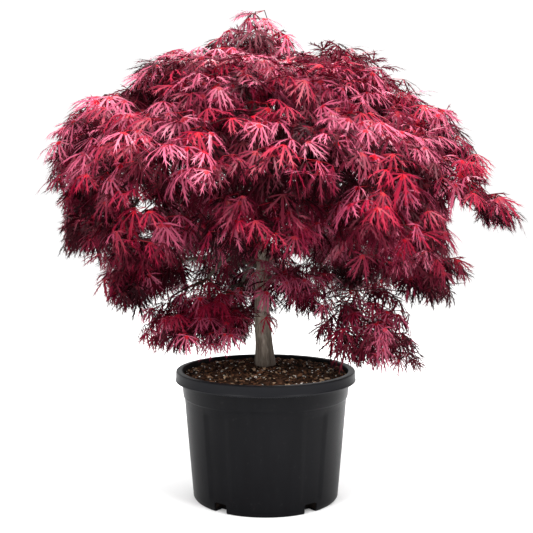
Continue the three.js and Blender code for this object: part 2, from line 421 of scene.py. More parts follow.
def potProfile():
    # Under the foot, up the outside, over the collar and the rolled lip, and down the inside.
    height, lip, neck, belly, foot = (pot[k] for k in ("height", "lip", "neck", "belly", "foot"))
    under = height - pot["lipHeight"]
    wall = pot["wall"]
    inner = neck - wall
    step = pot["bellyHeight"]
    line = [(0, 0), (0.12, 0), (0.155, 0), (foot - 0.004, 0), (foot - 0.0015, 0.0008)]
    line += [(wallRadius(z), z) for z in (0.0035, *pot["rings"], step - 0.001)]
    line += [(belly + 0.0006, step), (belly + 0.0024, step + 0.0022), (belly + 0.003, step + 0.004)]
    for t in (0.3, 0.65, 1):
        line.append((lerp(belly + 0.003, neck, t), lerp(step + 0.004, under - 0.002, t)))
    line += [(neck + 0.001, under), (lip - 0.004, under), (lip - 0.001, under + 0.0008)]
    line += [(lip, under + 0.003), (lip - 0.001, under + 0.0052), (lip - 0.0012, under + 0.0056)]
    line += [(lip - 0.0014, height - 0.0045), (lip - 0.002, height - 0.0018)]
    line += [(lip - 0.0036, height - 0.0003), (lip - 0.0065, height), (inner + 0.005, height)]
    line += [(inner + 0.002, height - 0.0006), (inner + 0.0004, height - 0.0022)]
    line += [(inner, height - 0.005)]
    line += [(wallRadius(z) - wall, z) for z in (step, 0.12, pot["floor"])]
    return line + [(0, pot["floor"])]


def makePot():
    bm = spun(potProfile(), pot["steps"])
    half, deep = pot["panelHalf"], pot["panelDepth"]
    for vert in bm.verts:
        x, y, z = vert.co
        radius = math.hypot(x, y)
        if not pot["panelFoot"] < z < pot["panelTop"] or radius < wallRadius(z) - 0.001:
            continue
        azimuth = math.degrees(math.atan2(y, x)) - pot["slotFirst"]
        off = abs((azimuth + 36) % 72 - 36)  # from the nearest slot, one every 72 degrees
        push = deep * (1 - smooth(half - 0.5, half + 1.5, off))
        vert.co.x *= (radius - push) / radius
        vert.co.y *= (radius - push) / radius
    obj = bpy.data.objects.new("potDraft", meshOf(bm, "pot"))
    scene.collection.objects.link(obj)
    cutters = slotCutters(0)
    cutAway(obj, cutters)
    dropCutters(cutters)
    mesh = obj.data
    bpy.data.objects.remove(obj)
    piece = finishPiece("nursery_pot", mesh, [potFinish()], ["pot"], flat=True)
    mesh.shade_smooth()
    mesh.set_sharp_from_angle(angle=math.radians(34))
    return piece


# The potting mix: a lumpy surface, with crumbs, bark chips and perlite lying on it.

mix = {
    "edge": 0.2855,
    "edgeRadius": 0.1915,
    "top": 0.3025,
    "seat": 0.04,
    "side": [(0, 0.0046), (0.1655, 0.0046), (0.1856, pot["bellyHeight"]), (0.1912, 0.281)],
    "rings": 74,
    "steps": 150,
    "lump": 0.0042,
}
litter = {  # what lies on the mix: how many, from and to what size, how slim, and its tints' shares
    "mix_crumbs": (
        2300,
        (0.003, 0.0075),
        (0.6, 1),
        {"crumbDark": 0.46, "crumbBrown": 0.44, "chipRust": 0.1},
    ),
    "bark_chips": (
        620,
        (0.005, 0.0115),
        (0.3, 0.6),
        {"crumbBrown": 0.46, "chipRust": 0.36, "chipTan": 0.18},
    ),
    "perlite_grains": (220, (0.003, 0.006), (0.7, 1), {"perlite": 1}),
}
litterReach = 0.188
stemReach = 0.027  # nothing lies nearer to the stem


def mixHeight(radius):
    share = min(max((radius - mix["seat"]) / (mix["edgeRadius"] - mix["seat"]), 0), 1)
    return mix["top"] - (mix["top"] - mix["edge"]) * share**1.6


def mixLump(x, y):
    spot = Vector((x, y, 0))
    swell = noise.noise(spot * 34) * 0.5 + noise.noise(spot * 95) * 0.55 + noise.noise(spot * 240) * 0.4
    fade = smooth(0.192, 0.186, math.hypot(x, y))
    return mix["lump"] * swell * fade


def makeMix():
    rings = [mix["edgeRadius"] * (1 - i / mix["rings"]) for i in range(mix["rings"] + 1)]
    bm = spun(mix["side"] + [(r, mixHeight(r)) for r in rings], mix["steps"])
    for vert in bm.verts:
        if vert.co.z > mix["edge"] - 0.001:
            vert.co.z += mixLump(vert.co.x, vert.co.y)
    obj = bpy.data.objects.new("mixDraft", meshOf(bm, "mix"))
    scene.collection.objects.link(obj)
    cutters = slotCutters(0.0004)
    cutAway(obj, cutters)
    dropCutters(cutters)
    mesh = obj.data
    bpy.data.objects.remove(obj)
    return finishPiece("potting_mix_surface", mesh, [mixFinish()], ["potting_mix"])


def lumpShape(seed, boxy):  # one crumb or chip, about 1 across
    bm = bmesh.new()
    if boxy:
        bmesh.ops.create_cube(bm, size=1)
        whole = bm.verts[:] + bm.edges[:] + bm.faces[:]
        bmesh.ops.bisect_plane(bm, geom=whole, plane_co=(0.1, 0, 0), plane_no=(1, 0.3, 0))
    else:
        bmesh.ops.create_icosphere(bm, subdivisions=1, radius=0.5)
    for vert in bm.verts:
        vert.co += noise.noise_vector(vert.co * 2.1 + Vector((seed * 7.3, 0, 0))) * 0.28
    bmesh.ops.triangulate(bm, faces=bm.faces)
    return arraysOf(bm)


def arraysOf(bm):
    bm.verts.index_update()
    points = np.array([v.co for v in bm.verts])
    faces = np.array([[v.index for v in f.verts] for f in bm.faces])
    slots = np.array([f.material_index for f in bm.faces])
    bm.free()
    return points, faces, slots


def turns(rng, count):  # random rotation matrices
    q = rng.normal(size=(count, 4))
    q /= np.linalg.norm(q, axis=1)[:, None]
    w, x, y, z = q.T
    rows = [
        [1 - 2 * (y * y + z * z), 2 * (x * y - z * w), 2 * (x * z + y * w)],
        [2 * (x * y + z * w), 1 - 2 * (x * x + z * z), 2 * (y * z - x * w)],
        [2 * (x * z - y * w), 2 * (y * z + x * w), 1 - 2 * (x * x + y * y)],
    ]
    return np.array(rows).transpose(2, 0, 1)


def scatterOnMix(name, shapes, seed):
    count, size, stretch, shares = litter[name]
    foot = trunk["foot"]
    rng = np.random.default_rng(seed)
    points, faces, slots, base = [], [], [], 0
    for i in range(count):
        radius = litterReach * math.sqrt(rng.uniform(0.012, 1))
        angle = rng.uniform(0, math.tau)
        x, y = radius * math.cos(angle), radius * math.sin(angle)
        if math.hypot(x - foot.x, y - foot.y) < stemReach:
            continue
        long = rng.uniform(*size) * (1 + rng.exponential(0.2))
        scale = np.array([long, long * rng.uniform(*stretch), long * rng.uniform(*stretch) * 0.7])
        shape = shapes[i % len(shapes)]
        tilt = turns(rng, 1)[0]
        flatten = np.array([1, 1, 0.55])
        z = mixHeight(radius) + mixLump(x, y) + scale[2] * 0.12
        points.append((shape[0] * scale) @ tilt.T * flatten + np.array([x, y, z]))
        faces.append(shape[1] + base)
        slots.append(np.full(len(shape[1]), rng.choice(len(shares), p=list(shares.values()))))
        base += len(shape[0])
    mesh = joinedMesh(name, np.vstack(points), np.vstack(faces), np.concatenate(slots))
    return finishPiece(name, mesh, [tint[t] for t in shares], [], flat=True)


def makeLitter():
    crumbs = [lumpShape(i, False) for i in range(5)]
    chips = [lumpShape(i + 9, True) for i in range(5)]
    scatterOnMix("mix_crumbs", crumbs, 11)
    scatterOnMix("bark_chips", chips, 12)
    scatterOnMix("perlite_grains", crumbs, 13)


# The trunk and boughs, with the bark's relief.

trunk = {
    "foot": Vector((-0.002, 0.014, 0.3033)),
    "height": 0.73,
    "lean": -0.009,
    "leanHeight": 0.15,
    "around": 72,
    "rows": 250,
    "relief": 0.05,
    "radii": [(0, 0.0243), (0.03, 0.0225), (0.09, 0.0196), (0.2, 0.0172)]
    + [(0.38, 0.0134), (0.55, 0.0106), (0.75, 0.0076), (1, 0.004)],
}
bough = {"around": 14, "rows": 44, "relief": 0.07, "collar": 0.5, "slim": 0.85}


def trunkMiddle(z):  # z above the trunk's foot
    leant = smooth(0, trunk["leanHeight"], z)
    waver = math.sin(z / 0.105) * 0.003
    return trunk["foot"] + Vector(((trunk["lean"] + waver) * leant, 0, z))


def limb(bm, line, radii, sides, rows, relief, seed):
    # A grid is rolled into a tube along the line, given as points, and its seam is welded.
    made = bmesh.ops.create_grid(bm, x_segments=rows, y_segments=sides, size=0.5)["verts"]
    line = np.array([list(p) for p in line])
    steps = np.linalg.norm(np.diff(line, axis=0), axis=1)
    reach = np.concatenate([[0], np.cumsum(steps)])
    share = reach / reach[-1]
    for vert in made:
        t, turn = vert.co.x + 0.5, (vert.co.y + 0.5) * math.tau
        middle = Vector([np.interp(t, share, line[:, k]) for k in range(3)])
        ahead = Vector([np.interp(min(t + 0.02, 1), share, line[:, k]) for k in range(3)])
        behind = Vector([np.interp(max(t - 0.02, 0), share, line[:, k]) for k in range(3)])
        tangent = (ahead - behind).normalized()
        side = tangent.cross(Vector((0.31, 0.95, 0.05))).normalized()
        other = tangent.cross(side)
        radius = np.interp(t, share, radii)
        ray = side * math.cos(turn) + other * math.sin(turn)
        spot = ray * 2.1 + Vector((seed, 0, t * reach[-1] * 30))
        fine = Vector((ray.x * 9 + seed, ray.y * 9, t * reach[-1] * 55))
        ridge = noise.noise(spot) + 0.6 * noise.noise(fine)
        vert.co = middle + ray * float(radius * (1 + relief * ridge))
    bmesh.ops.remove_doubles(bm, verts=made, dist=1e-5)


def closeEnds(bm):
    rims = [e for e in bm.edges if e.is_boundary]
    bmesh.ops.holes_fill(bm, edges=rims, sides=0)


def makeTrunk():
    bm = bmesh.new()
    zs = [trunk["height"] * (i / 60) ** 1.3 for i in range(61)]
    radii = [along(trunk["radii"], z / trunk["height"]) for z in zs]
    line = [trunkMiddle(z) for z in zs]
    limb(bm, line, radii, trunk["around"], trunk["rows"], trunk["relief"], 4.0)
    for vert in bm.verts:  # the root flare is lobed, and sinks a little into the mix
        z = vert.co.z - trunk["foot"].z
        middle = trunkMiddle(z)
        off = vert.co - middle
        angle = math.atan2(off.y, off.x)
        flare = 1 + 0.07 * math.sin(3 * angle + 0.4) * (1 - smooth(0, 0.07, z))
        vert.co.x, vert.co.y = middle.x + off.x * flare, middle.y + off.y * flare
        if z < 0.002:
            vert.co.z -= 0.004
    closeEnds(bm)
    finishPiece("trunk_bark", meshOf(bm, "trunk"), [bark], ["trunk"])


def boughLine(node):
    # The middle and radius of a CAD bough, from where its faces cross rings round the trunk.
    mesh = frame["nodes"][node].data
    points = np.array([v.co for v in mesh.vertices])
    corners = np.array([p.vertices for p in mesh.polygons])
    edges = np.vstack([corners[:, [0, 1]], corners[:, [1, 2]], corners[:, [2, 0]]])
    foot = np.array(trunk["foot"])
    reach = np.hypot(points[:, 0] - foot[0] - trunk["lean"], points[:, 1] - foot[1])
    near, far = reach.min(), reach.max()
    line, radii = [], []
    for share in np.linspace(0.04, 0.96, 14):
        level = near + (far - near) * share
        a, b = reach[edges[:, 0]], reach[edges[:, 1]]
        crossing = (a - level) * (b - level) < 0
        if crossing.sum() < 4:
            continue
        t = ((level - a) / (b - a + 1e-12))[crossing][:, None]
        spots = points[edges[crossing, 0]] * (1 - t) + points[edges[crossing, 1]] * t
        middle = (spots.min(axis=0) + spots.max(axis=0)) / 2
        line.append(middle)
        radii.append(np.percentile(np.linalg.norm(spots - middle, axis=1), 15))
    return np.array(line), np.array(radii)


def makeBoughs(tier, nodes):
    bm = bmesh.new()
    ends = {}
    for i, node in enumerate(nodes):
        line, radii = boughLine(node)
        for _ in range(2):
            line[1:-1] = (line[:-2] + line[1:-1] * 2 + line[2:]) / 4
            radii[1:-1] = (radii[:-2] + radii[1:-1] * 2 + radii[2:]) / 4
        radii = np.minimum(radii, np.linspace(radii[:4].max(), radii[-4:].mean(), len(radii)))
        radii = radii * bough["slim"]
        # The root runs back into the trunk, under a swollen collar.
        inward = line[0] - line[1]
        inward[2] = min(inward[2], 0)
        root = line[0] + inward / np.linalg.norm(inward) * 0.012
        line = np.vstack([root, line])
        radii = np.concatenate([[radii[0] * (1 + bough["collar"])], radii])
        limb(bm, line, radii, bough["around"], bough["rows"], bough["relief"], i * 5.1 + 20)
        ends[node] = (Vector(line[-1]), Vector(line[-1] - line[-2]).normalized(), float(radii[-1]))
    closeEnds(bm)
    finishPiece(f"{tier}_boughs_bark", meshOf(bm, tier), [youngShadedBark], nodes)
    return ends


# The crown. Sprays are spread through each foliage mass of the frame, and twigs grow to them
# from the bough that enters it.

crown = {
    "middle": (-0.01, 0.014),
    "tiers": {  # how far apart sprays are, and how far inside the crown's outline and their own mass
        "apex": (0.031, 0.009, -0.016),
        "crown": (0.027, 0.018, -0.016),
        "shoulder": (0.027, 0.018, -0.016),
        "skirt": (0.0275, 0.022, 0.002),
        "lower": (0.026, 0.002, 0.002),
        "inner": (0.026, 0.0, 0.002),
    },
    "tries": 260,
    "tone": {  # masses whose tints are painted lighter or darker than their place makes them: painted light and shade
        "shoulder_foliage_5": -0.14,
        "shoulder_foliage_6": -0.14,
        "shoulder_foliage_7": -0.38,
        "crown_foliage_5": -0.08,
        "skirt_foliage_8": 0.3,
        "skirt_foliage_6": 0.05,
        "lower_foliage_6": -0.06,
        "lower_foliage_7": 0.06,
    },
    "gaps": [  # ways through from the front: x and z from, x and z to, in the plane of the stem
        (0.04, 0.335, 0.095, 0.418),
        (-0.03, 0.3, 0.02, 0.41),
        (0.412, 0.65, 0.455, 0.7),
        (0.43, 0.6, 0.505, 0.66),
        (-0.7, 0.54, -0.472, 0.7),
        (-0.31, 0.632, -0.238, 0.673),
        (-0.17, 0.638, -0.15, 0.655),
        (-0.45, 0.42, -0.374, 0.488),
        (0.436, 0.42, 0.5, 0.488),
        (0.32, 0.455, 0.346, 0.488),
    ],
    "extra": {  # sprays that hang out of their mass
        "lower_foliage_6": [(0.24, -0.08, 0.49), (0.27, -0.08, 0.49), (0.3, -0.07, 0.485)]
        + [(0.285, -0.05, 0.47), (0.31, -0.05, 0.46), (0.255, -0.06, 0.48), (0.3, -0.1, 0.445)]
        + [(0.275, -0.12, 0.44), (0.31, -0.09, 0.42)],
        "lower_foliage_5": [(-0.31, -0.03, 0.455), (-0.335, -0.02, 0.455), (-0.29, -0.05, 0.45)]
        + [(-0.27, -0.03, 0.45)],
        "shoulder_foliage_9": [(0.535, -0.04, 0.645), (0.52, -0.02, 0.64), (0.545, -0.02, 0.65)]
        + [(0.555, -0.04, 0.655), (0.553, -0.03, 0.63), (0.536, -0.05, 0.622)],
        "inner_foliage_1": [(-0.01, -0.07, 0.53), (0.0, -0.08, 0.5), (-0.02, -0.09, 0.555)]
        + [(0.02, -0.08, 0.54)],
    },
    "under": {  # sprays in the crown's hollow, under each shoulder mass
        "front": 12,
        "back": 34,
        "turn": 0.42,
        "reach": (0.11, 0.34),
        "height": (0.58, 0.75),
    },
    "hang": 0.055,  # how far a spray's leaves fall
    "overhang": 0.042,  # and how far out of the mass they may
    "proud": 0.012,  # how far a leaf may pass the crown's outline
    "above": 0.008,
    "ragged": 0.042,
    "below": 0.07,
    "sunStep": 0.03,
    "thickness": 0.033,  # of leaves that keeps out two thirds of the light
}


class Mass:
    def __init__(self, node):
        self.node = node
        self.tier = node.split("_")[0]
        self.spacing, self.margin, self.inset = crown["tiers"][self.tier]
        mesh = frame["nodes"][node].data
        verts = [v.co.copy() for v in mesh.vertices]
        self.tree = BVHTree.FromPolygons(verts, [tuple(p.vertices) for p in mesh.polygons])
        self.corners = np.array([[list(verts[i]) for i in p.vertices[:3]] for p in mesh.polygons])
        self.low, self.high = (Vector(c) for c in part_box(node))
        self.middle = (self.low + self.high) / 2
        x, y = crown["middle"]
        flat = Vector((self.middle.x - x, self.middle.y - y, 0))
        self.out = flat.normalized() if flat.length > 0.05 else Vector((0, 0, 0))

    def skin(self, rng):  # points all over the mass's faces
        a, b, c = self.corners.transpose(1, 0, 2)
        spots = []
        for _ in range(14):
            u, v = rng.uniform(size=(2, len(a), 1))
            u, v = np.where(u + v > 1, 1 - u, u), np.where(u + v > 1, 1 - v, v)
            spots.append(a + (b - a) * u + (c - a) * v)
        return np.vstack(spots)

    def near(self, point, reach=0.05):
        return all(a - reach < c < b + reach for a, c, b in zip(self.low, point, self.high))

    def depth(self, point):  # how far inside the mass a point is, or minus how far outside
        spot, normal, _, distance = self.tree.find_nearest(point)
        return distance if (point - spot).dot(normal) < 0 else -distance

    def sprays(self, rng, outline):
        kept = []
        misses = 0
        while misses < crown["tries"]:
            p = Vector([rng.uniform(a - 0.02, b + 0.02) for a, b in zip(self.low, self.high)])
            if self.depth(p) < self.inset:
                continue
            if outline.strays(np.array([p, p + up * 0.016]), -self.margin, -0.02):
                continue
            fall = p + self.out * 0.02 - up * crown["hang"]
            if self.depth(fall) < -crown["overhang"]:
                misses += 0.25
                continue
            if kept and min((p - q).length for q in kept) < self.spacing:
                misses += 1
                continue
            kept.append(p)
        if self.tier == "shoulder":
            under = crown["under"]
            for _ in range(under["back" if self.out.y > 0 else "front"]):
                turn = math.atan2(self.out.y, self.out.x) + rng.uniform(-under["turn"], under["turn"])
                reach = rng.uniform(*under["reach"])
                x, y = reach * math.cos(turn), reach * math.sin(turn)
                p = Vector((x, y, rng.uniform(*under["height"])))
                if min((p - q).length for q in kept) > self.spacing:
                    kept.append(p)
        return kept


class Outline:
    # How far the crown reaches at each azimuth and height, and how low it hangs at each azimuth
    # and distance from the stem, with the gaps between neighbouring masses bridged.
    turnStep, reachStep, heightStep = 6, 0.02, 0.012
    turnCount, reachCount, heightCount = 60, 40, 110
    middleY = 0.01

    def __init__(self, masses):
        rng = np.random.default_rng(5)
        spots = np.vstack([m.skin(rng) for m in masses])
        turn, reach, height = self.bins(spots)
        far = np.zeros((self.turnCount, self.heightCount))
        low = np.full((self.turnCount, self.reachCount), 9.0)
        np.maximum.at(far, (turn, height), np.hypot(spots[:, 0], spots[:, 1] - self.middleY))
        np.minimum.at(low, (turn, reach), spots[:, 2])
        self.far, self.low = far.copy(), low.copy()
        for k in range(-4, 5):
            chord = math.cos(math.radians(self.turnStep * k))
            self.far = np.maximum(self.far, np.roll(far, k, 0) * chord)
        for k in range(-3, 4):
            for j in (-1, 0, 1):
                self.low = np.minimum(self.low, np.roll(np.roll(low, k, 0), j, 1))

    def bins(self, spots):
        x, y = spots[:, 0], spots[:, 1] - self.middleY
        turn = (np.degrees(np.arctan2(y, x)) % 360 // self.turnStep).astype(int) % self.turnCount
        reach = np.clip(np.hypot(x, y) / self.reachStep, 0, self.reachCount - 1).astype(int)
        height = np.clip(spots[:, 2] / self.heightStep, 0, self.heightCount - 1).astype(int)
        return turn, reach, height

    def strays(self, spots, proud, below, above=0):
        # How many points stand proud of the crown, hang below it or fall in a gap.
        turn, reach, height = self.bins(spots)
        under = self.bins(spots - [0, 0, above])[2]
        far = np.maximum(self.far[turn, height], self.far[turn, under])
        uneven = crown["ragged"] * noise.noise(Vector(spots[0] * 11))  # the rim is ragged
        proud, below = proud + uneven * 0.7, below + uneven * 2
        out = np.hypot(spots[:, 0], spots[:, 1] - self.middleY) > far + proud
        out |= spots[:, 2] < self.low[turn, reach] - below
        share = camera["toStem"] / (spots[:, 1] - camera["place"][1])
        eye = camera["place"][2]
        x, z = spots[:, 0] * share, eye + (spots[:, 2] - eye) * share
        for left, low, right, high in crown["gaps"]:
            out |= (x > left) & (x < right) & (z > low) & (z < high)
        return int(out.sum())


twig = {"step": 0.032, "sides": 5, "tip": 0.00055, "growth": 0.00042, "overlap": 0.0006, "slender": 9}


class Twigs:
    def __init__(self):
        self.points, self.parents, self.length = [], [], []

    def add(self, point, parent):
        run = 0 if parent < 0 else self.length[parent] + (point - self.points[parent]).length
        self.points.append(point)
        self.parents.append(parent)
        self.length.append(run)
        return len(self.points) - 1

    def reach(self, target, rng):
        spots = np.array([list(p) for p in self.points])
        gaps = np.linalg.norm(spots - np.array(target), axis=1)
        cost = gaps + 0.32 * np.array(self.length)
        for i in np.argsort(cost)[:12]:  # turning back on itself costs a twig more
            parent = self.parents[i]
            if parent >= 0:
                ahead = (self.points[i] - self.points[parent]).normalized()
                onward = (target - self.points[i]).normalized()
                cost[i] += 0.35 * gaps[i] * max(0, 0.35 - ahead.dot(onward))
        start = int(np.argmin(cost))
        a = self.points[start]
        span = (target - a).length
        count = max(1, round(span / twig["step"]))
        tip = start
        parent = self.parents[start]
        ahead = (a - self.points[parent]).normalized() if parent >= 0 else (target - a).normalized()
        bend = a + ahead * span * 0.4 + up * span * 0.16
        for i in range(1, count + 1):
            t = i / count
            spot = a * (1 - t) ** 2 + bend * (2 * t * (1 - t)) + target * t**2
            if i < count:
                spot += Vector(rng.normal(size=3) * 0.0018)
            tip = self.add(spot, tip)
        return tip

    def loads(self):
        load = np.ones(len(self.points))
        for i in range(len(self.points) - 1, 0, -1):
            if self.parents[i] >= 0:
                load[self.parents[i]] += load[i]
        return load


def growMass(mass, root, heading, rng, outline):
    twigs = Twigs()
    base = twigs.add(root, -1)
    twigs.add(root + heading * 0.012, base)
    targets = mass.sprays(rng, outline)
    targets += [Vector(p) for p in crown["extra"].get(mass.node, [])]
    targets.sort(key=lambda p: (p - root).length)
    for target in targets:
        twigs.reach(target, rng)
    return twigs


def twigMesh(name, twigs, thick):
    # Every stretch between two twig points is a five-sided tapering tube.
    sides = twig["sides"]
    load = twigs.loads()
    points = np.array([list(p) for p in twigs.points])
    parents = np.array(twigs.parents)
    child = np.arange(len(points))[parents >= 0]
    parent = parents[child]
    radius = np.minimum(twig["tip"] + twig["growth"] * np.sqrt(load), thick)
    start, end = points[parent], points[child]
    ahead = end - start
    ahead /= np.linalg.norm(ahead, axis=1)[:, None] + 1e-9
    lift = np.where(np.abs(ahead[:, 2:3]) < 0.9, [[0, 0, 1.0]], [[1.0, 0, 0]])
    side = np.cross(ahead, lift)
    side /= np.linalg.norm(side, axis=1)[:, None]
    other = np.cross(ahead, side)
    angles = np.arange(sides) / sides * math.tau
    cosines, sines = np.cos(angles)[None, :, None], np.sin(angles)[None, :, None]
    ring = side[:, None] * cosines + other[:, None] * sines
    overlap = ahead[:, None] * twig["overlap"]
    thicker = np.minimum(radius[parent], radius[child] * 1.35)
    low = start[:, None] - overlap + ring * thicker[:, None, None]
    high = end[:, None] + overlap + ring * radius[child][:, None, None]
    verts = np.concatenate([low, high], axis=1).reshape(-1, 3)
    i = np.arange(sides)
    j = (i + 1) % sides
    wall = np.stack([i, i + sides, j + sides, j], axis=1)
    faces = (wall[None] + (np.arange(len(child)) * 2 * sides)[:, None, None]).reshape(-1, 4)
    old = np.repeat(np.where(load[child] < twig["slender"], 0, 1), sides)
    return joinedMesh(name, verts, faces, old)


# Leaves: seven narrow lobes with side lobes of their own, red where they meet the stalk.

leaf = {
    "lobes": [(0, 0.068), (28, 0.065), (-28, 0.065), (57, 0.056), (-57, 0.056)]  # azimuth and length
    + [(92, 0.037), (-92, 0.037)],
    "fullLobes": 5,  # the last two are simpler
    "longest": 0.068,
    "width": 0.0044,
    "rows": [(0, 0.4), (0.16, 0.8), (0.55, 1), (1, 0)],  # place along the lobe and share of its width
    "smallRows": [(0, 0.5), (0.45, 1), (1, 0)],
    "sideLobes": [(0.26, 0.013), (0.48, 0.0135), (0.7, 0.0115)],  # place along the lobe and length
    "sideAngle": 26,
    "sideBase": 0.0026,
    "stalk": 0.026,
    "stalkWidth": 0.0012,
    "kinds": {  # pitched down from and to, and how far the tips bend down
        "raised": (-34, -6, 0.5),
        "arched": (0, 22, 0.85),
        "spread": (22, 48, 0.7),
        "hung": (48, 76, 0.45),
    },
    "odds": {  # of each kind: on top in the light, elsewhere in it, out of it, and low down
        "top": (0.4, 0.3, 0.2, 0.1),
        "light": (0.05, 0.35, 0.4, 0.2),
        "shade": (0, 0.1, 0.35, 0.55),
        "lower": (0, 0.05, 0.3, 0.65),
    },
    "variants": 5,
    "size": (0.76, 1.14),
    "pair": (64, -64),
    "atTip": (55, -55, 0),
}


def addLobe(bm, origin, azimuth, length, pitch, fall, rng, full):
    # The lobe sets out in the blade's plane, pitched down, and its tip bends further down.
    turn, tilt = math.radians(azimuth), math.radians(pitch)
    plane = Vector((math.sin(tilt), 0, math.cos(tilt)))
    start = Vector((math.cos(turn) * math.cos(tilt), math.sin(turn), -math.cos(turn) * math.sin(tilt)))
    curl = plane.cross(start) * rng.uniform(-0.4, 0.4)
    roll = rng.uniform(-0.28, 0.28)
    rows = leaf["rows"] if full else leaf["smallRows"]
    spots, aheads, sides = [origin], [], []
    for k, (t, _) in enumerate(rows):
        ahead = (start - up * fall * t + curl * t).normalized()
        if k:
            spots.append(spots[-1] + ahead * length * (t - rows[k - 1][0]))
        side = plane.cross(ahead).normalized()
        aheads.append(ahead)
        sides.append(side * math.cos(roll) + ahead.cross(side) * math.sin(roll))
    scale = 0.5 + 0.5 * length / leaf["longest"]
    width = leaf["width"] * scale
    left = right = None
    for k, (t, share) in enumerate(rows):
        if share == 0:
            bm.faces.new((left, right, bm.verts.new(spots[k])))
            break
        a = bm.verts.new(spots[k] + sides[k] * width * share / 2)
        b = bm.verts.new(spots[k] - sides[k] * width * share / 2)
        if left:
            face = bm.faces.new((left, right, b, a))
            face.material_index = 1 if full and k == 1 else 0
        left, right = a, b
    for place, long in leaf["sideLobes"] if full else leaf["sideLobes"][1:2]:
        for sign in (1, -1):
            t = place + sign * 0.045 + rng.uniform(-0.03, 0.03)
            k = max(i for i, row in enumerate(rows) if row[0] <= t)
            spot = spots[k].lerp(spots[k + 1], (t - rows[k][0]) / (rows[k + 1][0] - rows[k][0]))
            ahead, side = aheads[k + 1], sides[k] * sign
            angle = math.radians(leaf["sideAngle"] + rng.uniform(-7, 7))
            reach = ahead * math.cos(angle) + side * math.sin(angle) - up * 0.1
            edge, base = spot + side * width * 0.3, ahead * leaf["sideBase"]
            tip = edge + reach * long * scale * rng.uniform(0.8, 1.25)
            corners = [bm.verts.new(edge - base), bm.verts.new(edge + base), bm.verts.new(tip)]
            tooth = bm.faces.new(corners if sign < 0 else corners[::-1])
            # side lobes near the root take the darker tint: painted shade between the lobes
            tooth.material_index = 2 if place < 0.4 or not full else 0
    return spots[-1]


def leafShape(seed, pitch, fall):
    rng = np.random.default_rng(seed)
    bm = bmesh.new()
    stalk, width = leaf["stalk"], leaf["stalkWidth"]
    ends = {"radius1": width * 0.7, "radius2": width * 0.5}
    bmesh.ops.create_cone(bm, cap_ends=False, segments=3, depth=stalk, **ends)
    turn = Matrix.Rotation(math.radians(90), 4, "Y")
    bmesh.ops.transform(bm, matrix=Matrix.Translation((stalk / 2, 0, 0)) @ turn, verts=bm.verts)
    for face in bm.faces:
        face.material_index = 1
    origin = Vector((stalk, 0, 0))
    tips = []
    for k, (azimuth, length) in enumerate(leaf["lobes"]):
        azimuth += rng.uniform(-6, 6)
        length *= rng.uniform(0.86, 1.1)
        bend = fall * rng.uniform(0.75, 1.25)
        tilt = pitch + rng.uniform(-9, 9)
        tips.append(addLobe(bm, origin, azimuth, length, tilt, bend, rng, k < leaf["fullLobes"]))
    bmesh.ops.triangulate(bm, faces=bm.faces)
    return arraysOf(bm), np.array(tips[: leaf["fullLobes"]])


# The tints that sprays have, each with a darker tint for the side lobes near a lobe's root, which is
# painted shade between the lobes, and the tint of its stalks.
leafTints = {
    "leafCrimson": ("leafWine", "stalkRed"),
    "leafCarmine": ("leafWine", "stalkWine"),
    "leafRose": ("leafCarmine", "stalkRed"),
    "leafMauve": ("leafWine", "stalkWine"),
    "leafWine": ("leafClaret", "stalkWine"),
    "leafClaret": ("leafMaroon", "stalkDark"),
    "leafMaroon": ("leafShade", "stalkDark"),
    "leafShade": ("leafShade", "stalkDark"),
}
leafSlots = [*leafTints, "stalkRed", "stalkWine", "stalkDark"]
leafChoices = []
for own, (dark, stalk) in leafTints.items():
    leafChoices.append([leafSlots.index(name) for name in (own, stalk, dark)])
tintShares = {  # how often each tint falls on a spray, by how much light it has and how high it is
    "high": [0.1, 0.13, 0.26, 0.31, 0.1, 0.06, 0.03, 0.01],
    "low": [0.05, 0.16, 0.1, 0.21, 0.26, 0.15, 0.06, 0.01],
    "half": [0.03, 0.1, 0.07, 0.13, 0.26, 0.23, 0.13, 0.05],
    "shade": [0.01, 0.02, 0.0, 0.01, 0.06, 0.16, 0.32, 0.42],
}


# Sprays with less light through the leaves get darker tints, painted shade inside the crown; lower
# sprays get fewer of the painted-sheen tints.
def sprayTint(light, height, rng):
    light = min(max(light + rng.normal() * 0.12, 0), 1)
    deep, half, low, high = (np.array(tintShares[k]) for k in ("shade", "half", "low", "high"))
    bright = lerp(low, high, smooth(0.5, 0.8, height))
    shares = lerp(deep, half, light * 2) if light < 0.5 else lerp(half, bright, light * 2 - 1)
    return rng.choice(len(shares), p=shares / shares.sum())


def leafBasis(heading, rng):
    pitch = math.radians(rng.normal() * 12 - 4)
    lifted = (heading * math.cos(pitch) + up * math.sin(pitch)).normalized()
    side = up.cross(lifted).normalized()
    top = lifted.cross(side)
    roll = rng.normal() * 0.25
    cosine, sine = math.cos(roll), math.sin(roll)
    side, top = side * cosine + top * sine, top * cosine - side * sine
    return np.array([list(lifted), list(side), list(top)])


